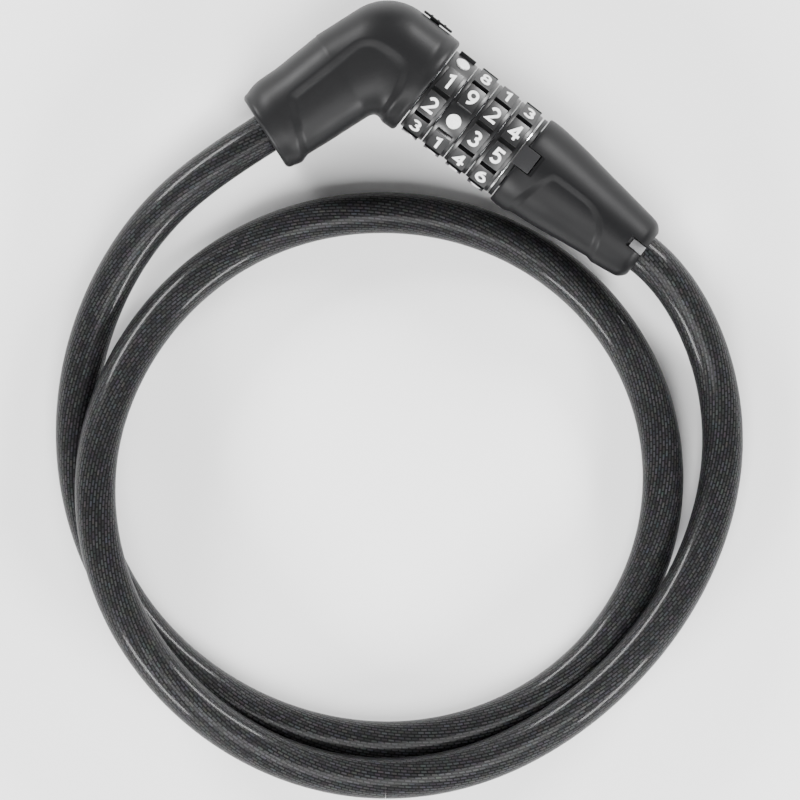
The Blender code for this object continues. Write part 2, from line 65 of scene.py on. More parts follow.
# Layout, as in the frame
AXIS_HEIGHT = 19.0
ARM_HEADING = 250.2
ARM = np.array([cos(radians(ARM_HEADING)), sin(radians(ARM_HEADING))])
ARM_SIDE = np.array([-ARM[1], ARM[0]])
INDEX_ANGLE = 3.9

# Head cover
WALL = 2.2
CORNER_RADIUS = 20.3
HEAD_HALF_HEIGHT = 19.5
ELBOW_PIVOT = np.array([12.0, -23.4])
ELBOW_FILLET = 3.0
HEAD_RIM = 18.5
RIM_INNER = 15.8
ARM_LENGTH = 53.0
SEAM = 0.12
SLIDER_ALONG = (0.6, 13.4)
STEM_ALONG = (3.8, 8.2)
RESET_TRAVEL = 2.0
RESET_SPRING_ALONG = (57.8, 65.5)
SPRING_RADIUS = 9.7
SPRING_WIRE = 0.6

# Dials
DIAL_COUNT = 4
DIAL_PITCH = 10.13
DIAL_START = 18.85
DIAL_WIDTH = 9.83
DIAL_RADIUS = 17.0
LAND_HEIGHT = 17.9
LAND_WIDTH = 9.7
LAND_CENTRE = 4.95
LAND_LENGTH = 6.85
SLOT_WIDTH = 1.9
SLOT_FLOOR = 15.8
DIGIT_STEP = 36.0
CODE = (2, 0, 3, 5)
CODE_ANGLE = -14.1
DIGIT_STROKE = 1.1
DIGIT_RELIEF = 0.2

# Cable
CABLE_RADIUS = 7.5
CABLE_HOLE = 7.9
RING_CENTRE = np.array([97.5, -123.0])
ARM_CABLE_START = 42.0
PLUG_CABLE_START = 108.1
PLUG_END = 118.2
SPLIT_BEARING = 667.8
WIRE_LENGTH = 2.5
WIRE_ROW = 1.178
WIRE_GAP = 0.36
CAD_TUBE_STEP = 18.0

# Route of the cable, looked at from above: (bearing round RING_CENTRE, distance from it, height)
ROUTE = (
    (165, 131.3, 16.8), (185, 125.1, 10.8), (205, 118.3, 7.8), (225, 111.6, 7.6), (245, 105.2, 7.6),
    (265, 99.5, 7.6), (285, 95.7, 7.6), (305, 94.1, 7.6), (325, 94.0, 7.6), (345, 95.1, 7.6),
    (370, 97.2, 7.6), (400, 99.2, 7.6), (430, 99.6, 7.6), (460, 99.0, 7.6), (490, 99.6, 7.8),
    (515, 101.9, 9.2), (535, 104.1, 12.3), (555, 106.4, 17.0), (570, 108.1, 20.9), (585, 108.8, 22.8),
    (600, 108.8, 22.9), (615, 108.4, 21.8), (630, 108.0, 19.9), (645, 107.8, 17.8), (665, 107.5, 16.2),
    (685, 106.6, 16.6), (705, 106.4, 18.0), (720, 108.1, 17.6), (735, 111.8, 14.6), (750, 116.8, 10.2),
    (763, 121.3, 8.0), (775, 124.4, 9.0), (787, 126.1, 13.8),
)

# Finger recess of the head and the scoop of the plug cover, as the outlines of their upper edges from above
HEAD_RECESS = (
    (4.0, -54.0), (-3.4, -47.9), (-17.0, -37.2), (-19.4, -34.4), (-19.7, -31.6), (-17.7, -23.4),
    (-15.3, -13.4), (-13.3, -4.6), (-11.6, -1.0), (-8.6, 1.6), (-5.0, 2.9), (1.3, 3.4), (6.0, 2.9),
    (9.3, 0.8), (11.3, -3.2), (12.4, -8.4), (13.0, -12.8), (13.6, -24.0),
)
HEAD_RECESS_DEPTH = 1.25
HEAD_RECESS_BAND = 3.3
PLUG_SCOOP = (
    (66.6, -25.0), (70.1, -8.2), (73.2, 1.2), (74.4, 3.0), (77.0, 3.9), (85.8, 4.1), (91.0, 4.0), (95.0, 2.9),
    (98.6, 0.8), (101.2, -2.2), (103.0, -6.2), (105.0, -14.0), (106.0, -22.0),
)
SCOOP_DEPTH = 0.9
SCOOP_BAND = 2.6


# Materials

def new_material(name, color, roughness, metallic=0.0, coat=0.0, coat_roughness=0.1, specular=0.5):
    material = bpy.data.materials.new(name)
    material.use_nodes = True
    shader = material.node_tree.nodes["Principled BSDF"]
    shader.inputs["Base Color"].default_value = (*color, 1.0)
    shader.inputs["Roughness"].default_value = roughness
    shader.inputs["Metallic"].default_value = metallic
    shader.inputs["Coat Weight"].default_value = coat
    shader.inputs["Coat Roughness"].default_value = coat_roughness
    shader.inputs["Specular IOR Level"].default_value = specular
    return material


def add_node(material, kind, **values):
    node = material.node_tree.nodes.new(kind)
    for key, value in values.items():
        if key in node.inputs:
            node.inputs[key].default_value = value
        else:
            setattr(node, key, value)
    return node


def link(material, source, output, target, socket):
    material.node_tree.links.new(source.outputs[output], target.inputs[socket])


def grained(name, color, roughness, grain, relief, spread=0.08, **options):
    """Moulded plastic or cast metal: fine grain in the relief and the colour, and slow changes in gloss."""
    material = new_material(name, color, roughness, **options)
    shader = material.node_tree.nodes["Principled BSDF"]
    place = add_node(material, "ShaderNodeTexCoord")
    fine = add_node(material, "ShaderNodeTexNoise", Scale=1000.0 / grain, Detail=4.0, Roughness=0.6)
    broad = add_node(material, "ShaderNodeTexNoise", Scale=45.0, Detail=3.0)
    link(material, place, "Object", fine, "Vector")
    link(material, place, "Object", broad, "Vector")
    bump = add_node(material, "ShaderNodeBump", Strength=0.5, Distance=relief * MM)
    link(material, fine, "Fac", bump, "Height")
    link(material, bump, "Normal", shader, "Normal")
    gloss = add_node(material, "ShaderNodeMapRange")
    gloss.inputs["To Min"].default_value = roughness - spread
    gloss.inputs["To Max"].default_value = roughness + spread
    link(material, broad, "Fac", gloss, "Value")
    link(material, gloss, "Result", shader, "Roughness")
    tint = add_node(material, "ShaderNodeValToRGB")
    tint.color_ramp.elements[0].position = 0.3
    tint.color_ramp.elements[0].color = (*[c * 0.8 for c in color], 1.0)
    tint.color_ramp.elements[1].position = 0.7
    tint.color_ramp.elements[1].color = (*[min(c * 1.2, 1.0) for c in color], 1.0)
    link(material, fine, "Fac", tint, "Fac")
    link(material, tint, "Color", shader, "Base Color")
    return material


def cable_material():
    """Dark clear sheath over a stranded rope: rows of short wires show through a satin skin."""
    material = new_material("sheath_over_strands", (0.012, 0.012, 0.013), 0.42, coat=0.1,
                            coat_roughness=0.1, specular=0.12)
    shader = material.node_tree.nodes["Principled BSDF"]
    uv = add_node(material, "ShaderNodeUVMap", uv_map="UVMap")
    wires = add_node(material, "ShaderNodeTexBrick", Scale=1.0)
    wires.offset = 0.5
    wires.offset_frequency = 2
    wires.inputs["Brick Width"].default_value = WIRE_LENGTH
    wires.inputs["Row Height"].default_value = WIRE_ROW
    wires.inputs["Mortar Size"].default_value = WIRE_GAP
    wires.inputs["Mortar Smooth"].default_value = 0.55
    wires.inputs["Color1"].default_value = (0.014, 0.014, 0.015, 1.0)
    wires.inputs["Color2"].default_value = (0.038, 0.039, 0.041, 1.0)
    wires.inputs["Mortar"].default_value = (0.0025, 0.0025, 0.003, 1.0)
    link(material, uv, "UV", wires, "Vector")
    haze = add_node(material, "ShaderNodeTexNoise", Scale=0.35, Detail=3.0)
    link(material, uv, "UV", haze, "Vector")
    veil = add_node(material, "ShaderNodeMix", data_type="RGBA", blend_type="MULTIPLY")
    veil.inputs["Factor"].default_value = 0.6
    link(material, wires, "Color", veil, 6)
    link(material, haze, "Color", veil, 7)
    link(material, veil, 2, shader, "Base Color")
    bump = add_node(material, "ShaderNodeBump", Strength=0.6, Distance=0.25 * MM)
    bump.invert = True
    link(material, wires, "Fac", bump, "Height")
    link(material, bump, "Normal", shader, "Normal")
    return material


HEAD_PLASTIC = grained("head_soft_touch", (0.0065, 0.0065, 0.007), 0.46, 0.35, 0.05, specular=0.2)
PLUG_PLASTIC = grained("plug_soft_touch", (0.006, 0.006, 0.0065), 0.44, 0.35, 0.05, specular=0.14)
DIAL_PLASTIC = grained("dial_plastic", (0.006, 0.006, 0.0065), 0.36, 0.4, 0.03)
DARK_PLASTIC = grained("collar_plastic", (0.007, 0.007, 0.0075), 0.42, 0.4, 0.03, specular=0.2)
TAB_PLASTIC = grained("index_tab_plastic", (0.014, 0.014, 0.015), 0.5, 0.4, 0.05, specular=0.25)
GREY_PLASTIC = grained("snap_tab_plastic", (0.16, 0.16, 0.165), 0.5, 0.4, 0.05)
RUBBER = grained("grommet_rubber", (0.014, 0.014, 0.014), 0.7, 0.5, 0.06)
DIGIT_WHITE = grained("digit_enamel", (0.95, 0.95, 0.94), 0.35, 0.6, 0.01, spread=0.04)
STEEL = grained("turned_steel", (0.58, 0.58, 0.60), 0.28, 0.5, 0.01, metallic=1.0)
BRIGHT_STEEL = grained("bright_washer", (0.80, 0.80, 0.81), 0.16, 0.6, 0.005, spread=0.04, metallic=1.0)
SPRING_STEEL = grained("spring_steel", (0.40, 0.40, 0.42), 0.34, 0.5, 0.01, metallic=1.0)
CAST_ZINC = grained("cast_zinc", (0.46, 0.46, 0.48), 0.48, 0.8, 0.05, metallic=1.0)
CABLE = cable_material()

FINISHES = {
    "cover": HEAD_PLASTIC, "dial": DIAL_PLASTIC, "collar": DARK_PLASTIC, "slider": DARK_PLASTIC,
    "snap_tab": GREY_PLASTIC, "grommet": RUBBER, "sheath": CABLE, "steel": STEEL, "washer": BRIGHT_STEEL,
    "spring": SPRING_STEEL, "casting": CAST_ZINC,
}


# Mesh helpers

def make_piece(name, points, faces, material, sharp=None):
    """Object from points in mm; sharp is the angle above which its edges stay sharp."""
    mesh = bpy.data.meshes.new(name)
    mesh.from_pydata([tuple(float(c) * MM for c in p) for p in points], [], faces)
    mesh.materials.append(material)
    obj = bpy.data.objects.new(name, mesh)
    bpy.context.scene.collection.objects.link(obj)
    shade(obj, sharp)
    return obj


def shade(obj, sharp=None):
    obj.data.shade_smooth()
    if sharp is not None:
        obj.data.set_sharp_from_angle(angle=radians(sharp))


def strip_faces(rows, columns, wrap, offset=0, flip=False):
    """Quads between the rows of a grid of points; wrap joins the last column to the first."""
    faces = []
    for i in range(rows - 1):
        for j in range(columns if wrap else columns - 1):
            k = (j + 1) % columns
            a, b = offset + i * columns + j, offset + i * columns + k
            c, d = b + columns, a + columns
            faces.append((a, d, c, b) if flip else (a, b, c, d))
    return faces


def outward(obj):
    """Turns the faces of a closed mesh outwards."""
    shape = bmesh.new()
    shape.from_mesh(obj.data)
    bmesh.ops.remove_doubles(shape, verts=shape.verts, dist=1e-7)
    bmesh.ops.recalc_face_normals(shape, faces=shape.faces)
    shape.to_mesh(obj.data)
    shape.free()


def apply_modifiers(obj):
    graph = bpy.context.evaluated_depsgraph_get()
    mesh = bpy.data.meshes.new_from_object(obj.evaluated_get(graph))
    old = obj.data
    obj.modifiers.clear()
    obj.data = mesh
    bpy.data.meshes.remove(old)


def combine(obj, tools, operation="DIFFERENCE"):
    """Cuts or joins obj with each tool, applies the result and removes the tools."""
    for tool in tools:
        modifier = obj.modifiers.new(tool.name, "BOOLEAN")
        modifier.operation = operation
        modifier.solver = "EXACT"
        modifier.object = tool
    apply_modifiers(obj)
    for tool in tools:
        bpy.data.objects.remove(tool)


def barrel_point(along, radius, up_angle):
    return (along, radius * sin(radians(up_angle)), AXIS_HEIGHT + radius * cos(radians(up_angle)))


def turned(name, outline, material, around=180, sharp=30.0, relief=None):
    """Closed ring turned about the barrel axis from a closed outline of (along, radius)."""
    angles = np.arange(around) * 360.0 / around
    points = []
    for along, radius in outline:
        for angle in angles:
            depth = relief(along, radius, angle) if relief else 0.0
            points.append(barrel_point(along, radius - depth, angle))
    faces = strip_faces(len(outline), around, True)
    last = (len(outline) - 1) * around
    for j in range(around):
        k = (j + 1) % around
        faces.append((last + j, last + k, k, j))
    obj = make_piece(name, points, faces, material)
    outward(obj)
    shade(obj, sharp)
    return obj


def radial_boxes(name, along, radius, width, angles, material, bevel=0.0):
    """Boxes that stand out from the barrel axis at the given up-angles."""
    shape = bmesh.new()
    size = Matrix.Diagonal(((along[1] - along[0]) * MM, width * MM, (radius[1] - radius[0]) * MM, 1.0))
    place = Matrix.Translation(((along[0] + along[1]) / 2 * MM, 0.0, (radius[0] + radius[1]) / 2 * MM))
    for angle in angles:
        turn = Matrix.Rotation(radians(-angle), 4, "X")
        bmesh.ops.create_cube(shape, size=1.0, matrix=turn @ place @ size)
    if bevel:
        bmesh.ops.bevel(shape, geom=list(shape.edges), offset=bevel * MM, segments=3, profile=0.5,
                        affect="EDGES")
    shape.transform(Matrix.Translation((0.0, 0.0, AXIS_HEIGHT * MM)))
    mesh = bpy.data.meshes.new(name)
    shape.to_mesh(mesh)
    shape.free()
    mesh.materials.append(material)
    obj = bpy.data.objects.new(name, mesh)
    bpy.context.scene.collection.objects.link(obj)
    return obj


def block(name, low, high, material, bevel=0.0):
    """Box between two corners, in mm."""
    low = Vector(low) * MM
    high = Vector(high) * MM
    shape = bmesh.new()
    size = Matrix.Diagonal((*(high - low), 1.0))
    bmesh.ops.create_cube(shape, size=1.0, matrix=Matrix.Translation((low + high) / 2) @ size)
    if bevel:
        bmesh.ops.bevel(shape, geom=list(shape.edges), offset=bevel * MM, segments=3, profile=0.5,
                        affect="EDGES")
    mesh = bpy.data.meshes.new(name)
    shape.to_mesh(mesh)
    shape.free()
    mesh.materials.append(material)
    obj = bpy.data.objects.new(name, mesh)
    bpy.context.scene.collection.objects.link(obj)
    return obj


def finish_piece(obj, body, slot, *nodes):
    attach(obj, body)
    if nodes:
        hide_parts(*nodes)


def smooth_step(value):
    value = np.clip(value, 0.0, 1.0)
    return value * value * (3 - 2 * value)


def smooth_line(points, per_span=8):
    """Catmull-Rom line through the points."""
    points = np.array(points, float)
    ends = np.vstack([2 * points[0] - points[1], points, 2 * points[-1] - points[-2]])
    line = []
    for i in range(1, len(ends) - 2):
        for s in np.arange(per_span) / per_span:
            a, b, c, d = ends[i - 1:i + 3]
            line.append(0.5 * (2 * b + (c - a) * s + (2 * a - 5 * b + 4 * c - d) * s ** 2
                               + (3 * b - a - 3 * c + d) * s ** 3))
    line.append(points[-1])
    return np.array(line)


def recess_depth(x, y, outline, depth, band):
    """Depth of a recess at plan points: it ramps down over the band inside the outline.

    The inside lies to the right of the outline.
    """
    line = smooth_line(outline)
    start = line[:-1]
    step = line[1:] - start
    points = np.column_stack([x, y])
    best = np.full(len(points), 1e9)
    side = np.ones(len(points))
    for s, d in zip(start, step):
        offset = points - s
        share = np.clip(offset @ d / (d @ d), 0.0, 1.0)
        gap = offset - share[:, None] * d
        distance = np.hypot(gap[:, 0], gap[:, 1])
        turn = d[0] * offset[:, 1] - d[1] * offset[:, 0]
        nearer = distance < best
        best[nearer] = distance[nearer]
        side[nearer] = turn[nearer]
    inside = side < 0
    ramp = np.clip(best / band, 0.0, 1.0)
    eased = np.where(ramp < 0.08, ramp * ramp / 0.16, ramp - 0.04)
    eased = np.where(ramp > 0.92, 0.92 - (1.0 - ramp) ** 2 / 0.16, eased)
    return np.where(inside, depth * eased / 0.92, 0.0)


# Cable

def clamped_spline(knots, values, first_slope, last_slope):
    """Cubic spline with given end slopes, returned as a function of one number."""
    knots = np.array(knots, float)
    values = np.array(values, float)
    step = np.diff(knots)
    rise = np.diff(values) / step
    count = len(knots)
    matrix = np.zeros((count, count))
    target = np.zeros(count)
    matrix[0, 0] = 1.0
    target[0] = first_slope
    matrix[-1, -1] = 1.0
    target[-1] = last_slope
    for i in range(1, count - 1):
        matrix[i, i - 1] = step[i]
        matrix[i, i] = 2 * (step[i - 1] + step[i])
        matrix[i, i + 1] = step[i - 1]
        target[i] = 3 * (step[i] * rise[i - 1] + step[i - 1] * rise[i])
    slope = np.linalg.solve(matrix, target)

    def evaluate(x):
        i = int(np.clip(np.searchsorted(knots, x) - 1, 0, count - 2))
        h = step[i]
        s = (x - knots[i]) / h
        return ((1 + 2 * s) * (1 - s) ** 2 * values[i] + s * (1 - s) ** 2 * h * slope[i]
                + s * s * (3 - 2 * s) * values[i + 1] + s * s * (s - 1) * h * slope[i + 1])

    return evaluate


def polar(point, turns):
    x, y = np.array(point) - RING_CENTRE
    return np.degrees(np.arctan2(y, x)) % 360 + 360 * turns, hypot(x, y)


def radial_slope(bearing, distance, heading):
    """Change of distance per degree of bearing for a path with this heading that goes round anticlockwise."""
    return -distance * np.tan(radians(heading - bearing - 90.0)) * radians(1.0)


def cable_line():
    """Fine centre line between the two exits, as rows of x, y, z and bearing."""
    start = ARM * ARM_LENGTH
    start_bearing, start_distance = polar(start, 0)
    end_bearing, end_distance = polar((PLUG_END, 0.0), 2)
    bearings = [start_bearing] + [row[0] for row in ROUTE] + [end_bearing]
    distances = [start_distance] + [row[1] for row in ROUTE] + [end_distance]
    heights = [AXIS_HEIGHT] + [row[2] for row in ROUTE] + [AXIS_HEIGHT]
    start_slope = radial_slope(start_bearing, start_distance, ARM_HEADING)
    end_slope = radial_slope(end_bearing, end_distance, 900.0)
    distance_at = clamped_spline(bearings, distances, start_slope, end_slope)
    height_at = clamped_spline(bearings, heights, 0.0, 0.0)
    rows = []
    for bearing in np.linspace(start_bearing, end_bearing, 2000):
        reach = distance_at(bearing) * np.array([cos(radians(bearing)), sin(radians(bearing))])
        rows.append((*(RING_CENTRE + reach), height_at(bearing), bearing))
    return np.array(rows)


def lengths_along(points):
    return np.concatenate([[0.0], np.cumsum(np.linalg.norm(np.diff(points[:, :3], axis=0), axis=1))])


def resample(points, step):
    travelled = lengths_along(points)
    at = np.linspace(0.0, travelled[-1], int(round(travelled[-1] / step)) + 1)
    return np.column_stack([np.interp(at, travelled, points[:, i]) for i in range(points.shape[1])])


def cable_halves(step):
    """Centre lines of the fixed part and the plug's part; they split where the CAD solids do."""
    line = cable_line()
    coarse = resample(line, CAD_TUBE_STEP)
    split_bearing = coarse[int(np.searchsorted(coarse[:, 3], SPLIT_BEARING - 0.001)) - 1, 3]
    split = int(np.searchsorted(line[:, 3], split_bearing))
    inside_arm = np.array([[*(ARM * ARM_CABLE_START), AXIS_HEIGHT]])
    inside_plug = np.array([[PLUG_CABLE_START, 0.0, AXIS_HEIGHT]])
    first = np.vstack([inside_arm, line[:split + 1, :3]])
    second = np.vstack([line[split:, :3], inside_plug])
    return resample(first, step), resample(second, step)


def cable_tube(name, line, start_length, around=40):
    """Round tube along the line. Its UVs are millimetres along and round the cable, with a slight lay."""
    tangents = np.gradient(line, axis=0)
    tangents /= np.linalg.norm(tangents, axis=1)[:, None]
    side = np.cross(tangents, [0.0, 0.0, 1.0])
    side /= np.linalg.norm(side, axis=1)[:, None]
    top = np.cross(side, tangents)
    points = []
    for centre, right, up in zip(line, side, top):
        for j in range(around):
            angle = 2 * pi * j / around
            points.append(centre + CABLE_RADIUS * (cos(angle) * right + sin(angle) * up))
    rows = len(line)
    faces = strip_faces(rows, around, True)
    faces.append(tuple(range(around))[::-1])
    faces.append(tuple(range((rows - 1) * around, rows * around)))
    obj = make_piece(name, points, faces, CABLE)
    outward(obj)
    shade(obj, 50.0)
    add_cable_uv(obj, line, start_length)
    return obj


def add_cable_uv(obj, line, start_length):
    """Row and column come from the order of the points, so every face keeps one unbroken patch."""
    lay = 0.13
    around = 40
    travelled = lengths_along(line) + start_length
    girth = 2 * pi * CABLE_RADIUS
    layer = obj.data.uv_layers.new(name="UVMap")
    for polygon in obj.data.polygons:
        columns = [obj.data.loops[i].vertex_index % around for i in polygon.loop_indices]
        wraps = max(columns) - min(columns) > around / 2 and len(columns) == 4
        for i, column in zip(polygon.loop_indices, columns):
            row = obj.data.loops[i].vertex_index // around
            turn = column + around if wraps and column == 0 else column
            u = travelled[row]
            layer.data[i].uv = (u, turn / around * girth + lay * u)


def make_cable():
    first, second = cable_halves(2.0)
    first_length = lengths_along(first)[-1]
    main = cable_tube("cable_fixed_turns", first, 0.0)
    finish_piece(main, "lock_body", "sheath", "cable_main")
    run = cable_tube("cable_run_to_plug", second, first_length)
    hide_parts("cable_plug_run")
    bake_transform(run)


# Head cover

def elbow_reach(turn):
    """Distance from the elbow pivot to the outer wall, for a section turned by this angle."""
    direction = np.array([-sin(radians(turn)), cos(radians(turn))])
    if direction[1] > 0:
        reach = (CORNER_RADIUS - ELBOW_PIVOT[1]) / direction[1]
        if ELBOW_PIVOT[0] + reach * direction[0] >= 0:
            return reach
    straight = -(CORNER_RADIUS + ELBOW_PIVOT @ ARM_SIDE) / (direction @ ARM_SIDE)
    if (ELBOW_PIVOT + straight * direction) @ ARM >= 0:
        return straight
    middle = ELBOW_PIVOT @ direction
    return -middle + sqrt(middle * middle - (ELBOW_PIVOT @ ELBOW_PIVOT - CORNER_RADIUS ** 2))


def head_stations():
    """Stations of the head skin: foot point, direction, inner, outer, half height and power.
    """
    up = np.array([0.0, 1.0])
    stations = []
    for radius in np.linspace(RIM_INNER, 18.6, 5):
        stations.append((HEAD_RIM, radius, radius, 2.0))
    for turn in np.linspace(0.0, 90.0, 9)[1:]:
        round_off = 1.6
        rise = sin(radians(turn))
        stations.append((HEAD_RIM - round_off * (1 - cos(radians(turn))), 18.6 + round_off * rise,
                         18.2 + 1.0 * rise, 2.0))
    rows = []
    for x, half, height, power in stations:
        rows.append((np.array([x, 0.0]), up, -half, half, height, power))
    for x in np.linspace(16.4, ELBOW_PIVOT[0], 8):
        share = (HEAD_RIM - 1.6 - x) / (HEAD_RIM - 1.6 - ELBOW_PIVOT[0])
        rows.append((np.array([x, 0.0]), up, -20.2 - 0.2 * share, 20.2 + 0.1 * share,
                     19.2 + 0.3 * smooth_step(share), 2.0 + 0.6 * smooth_step(share)))
    bend = ARM_HEADING - 180.0
    for turn in np.linspace(0.0, bend, 78)[1:]:
        direction = np.array([-sin(radians(turn)), cos(radians(turn))])
        height = HEAD_HALF_HEIGHT - 1.1 * smooth_step((turn - 35.0) / 35.0)
        rows.append((ELBOW_PIVOT, direction, ELBOW_FILLET, elbow_reach(turn), height, 2.6))
    return rows + arm_stations()


def arm_stations():
    across = -ARM_SIDE
    # distance along the arm, inner side, outer side, half height, power
    table = np.array((
        (17.95, -16.22, 20.0, 18.4, 2.6), (23.0, -16.2, 19.5, 18.2, 2.6), (28.6, -16.2, 18.9, 17.9, 2.55),
        (37.8, -16.2, 17.9, 17.3, 2.5), (43.0, -16.1, 17.75, 17.0, 2.4), (48.5, -15.9, 16.8, 16.6, 2.3),
        (51.0, -15.4, 15.8, 16.0, 2.2),
    ))
    columns = [clamped_spline(table[:, 0], table[:, i], 0.0, (table[-1, i] - table[-2, i]) / 2.5)
               for i in range(1, 5)]
    rows = []
    for t in np.linspace(18.5, 51.0, 60):
        inner, outer, height, power = [column(t) for column in columns]
        rows.append((ARM * t, across, inner, outer, height, power))
    last = table[-1]
    for turn in np.linspace(0.0, 90.0, 9)[1:]:
        shrink = 1.9 * (1 - cos(radians(turn)))
        rows.append((ARM * (51.0 + 2.0 * sin(radians(turn))), across, last[1] + shrink, last[2] - shrink,
                     last[3] - shrink, 2.2))
    for share in np.linspace(0.0, 1.0, 6)[1:]:
        half = (last[2] - last[1]) / 2 - 1.9
        middle = (last[2] + last[1]) / 2 * (1 - share)
        width = half + (CABLE_HOLE - half) * share
        rows.append((ARM * ARM_LENGTH, across, middle - width, middle + width,
                     last[3] - 1.9 + (CABLE_HOLE - last[3] + 1.9) * share, 2.2 - 0.2 * share))
    return rows


def ring_points(station, count, half, wall):
    """Half a section, from its outer side round to its inner side, set in by the wall."""
    foot, direction, inner, outer, height, power = station
    middle = (inner + outer) / 2
    width = (outer - inner) / 2
    reach = width - wall
    rise = height - wall
    angles = np.linspace(0.0, pi, count)
    c, s = np.cos(angles), np.sin(angles)
    level = np.abs(c) ** (2 / power) * np.sign(c)
    upright = np.abs(s) ** (2 / power) * half
    level[np.abs(c) < 1e-9] = 0.0
    plan = foot + np.outer(middle + reach * level, direction)
    z = AXIS_HEIGHT + rise * upright
    z = np.maximum(z, wall if wall else 0.0)
    z = np.maximum(z, AXIS_HEIGHT + SEAM) if half > 0 else np.minimum(z, AXIS_HEIGHT - SEAM)
    return np.column_stack([plan, z])


def inner_station(station):
    """Section of the inner wall behind a station, kept clear of the two end walls."""
    foot, direction, inner, outer, height, power = station
    foot = foot.copy()
    half = (outer - inner) / 2
    if direction[1] == 1.0 and foot[0] > HEAD_RIM - WALL:
        foot[0] = HEAD_RIM - WALL
        limit = 20.3
        half = min(half + WALL, limit)
        return foot, direction, -half, half, min(height + WALL, 19.4), power
    along = foot @ ARM
    if np.allclose(direction, -ARM_SIDE) and along > ARM_LENGTH - WALL:
        foot = ARM * (ARM_LENGTH - WALL)
        middle = (inner + outer) / 2
        half = min(half + WALL, 15.6)
        return foot, direction, middle - half, middle + half, min(height + WALL, 16.0), power
    return station


def make_half_cover(name, half, node):
    stations = head_stations()
    count = 121
    outer = np.array([ring_points(s, count, half, 0.0) for s in stations])
    inner = np.array([ring_points(inner_station(s), count, half, WALL) for s in stations])
    normals = grid_normals(outer)
    flat = outer.reshape(-1, 3)
    depth = recess_depth(flat[:, 0], flat[:, 1], HEAD_RECESS, HEAD_RECESS_DEPTH, HEAD_RECESS_BAND)
    fade = smooth_step((flat[:, 0] * ARM[0] + flat[:, 1] * ARM[1] - 52.5) / -1.5)
    depth = depth * fade * smooth_step((16.5 - flat[:, 0]) / 1.5)
    middle = np.array([(s[0] + s[1] * (s[2] + s[3]) / 2) for s in stations])
    middle = np.column_stack([middle, np.full(len(middle), AXIS_HEIGHT)])
    outwards = outer - middle[:, None, :]
    normals *= np.sign((normals * outwards).sum(axis=2))[:, :, None]
    flat = flat - normals.reshape(-1, 3) * depth[:, None]
    flat[:, 2] = np.maximum(flat[:, 2], 0.0)
    edge = np.zeros((len(stations), count), bool)
    edge[:, 0] = True
    edge[:, -1] = True
    flat[edge.ravel(), 2] = AXIS_HEIGHT + SEAM * half
    points = np.vstack([flat, inner.reshape(-1, 3)])
    rows = len(stations)
    base = rows * count
    faces = strip_faces(rows, count, False) + strip_faces(rows, count, False, base, True)
    for i in range(rows - 1):
        for j in (0, count - 1):
            a, b = i * count + j, (i + 1) * count + j
            faces.append((a, b, b + base, a + base))
    for i in (0, rows - 1):
        for j in range(count - 1):
            a, b = i * count + j, i * count + j + 1
            faces.append((a, b, b + base, a + base))
    cover = make_piece(name, points, faces, HEAD_PLASTIC)
    outward(cover)
    window = block("slider_window", (STEM_ALONG[0] - 0.3, 15.5, AXIS_HEIGHT - 3.3),
                   (STEM_ALONG[1] + RESET_TRAVEL + 0.3, 25.0, AXIS_HEIGHT + 3.3), HEAD_PLASTIC)
    combine(cover, [window])
    shade(cover, 35.0)
    finish_piece(cover, "lock_body", "cover", node)


def grid_normals(grid):
    along = np.gradient(grid, axis=0)
    around = np.gradient(grid, axis=1)
    normals = np.cross(along, around)
    length = np.linalg.norm(normals, axis=2)
    length[length < 1e-9] = 1.0
    return normals / length[:, :, None]


# Dials

def arc(cx, cy, rx, ry, start, end, count=14):
    return [(cx + rx * cos(radians(a)), cy + ry * sin(radians(a))) for a in np.linspace(start, end, count)]


SIX = [arc(0.0, -1.02, 1.6, 1.56, 0, 360, 28), arc(1.15, -1.0, 2.75, 3.6, 180, 97, 10)]
DIGIT_LINES = {
    1: [[(-1.25, 1.75), (0.35, 2.55), (0.35, -3.2)]],
    2: [arc(-0.05, 1.1, 1.55, 1.45, 165, -35) + [(-1.7, -2.55), (2.05, -2.55)]],
    3: [arc(-0.2, 1.35, 1.35, 1.2, 150, -90), arc(-0.2, -1.15, 1.65, 1.4, 90, -150)],
    4: [[(0.8, 2.7), (-1.7, -1.2), (2.2, -1.2)], [(0.75, 3.2), (0.75, -3.2)]],
    5: [[(1.75, 2.55), (-1.15, 2.55), (-1.3, 0.35)] + arc(-0.15, -0.95, 1.65, 1.6, 115, -145)],
    6: SIX,
    7: [[(-1.9, 2.55), (1.5, 2.55), (-0.75, -3.2)]],
    8: [arc(0.0, 1.35, 1.25, 1.2, 0, 360, 28), arc(0.0, -1.2, 1.5, 1.35, 0, 360, 28)],
    9: [[(-x, -y) for x, y in line] for line in SIX],
}


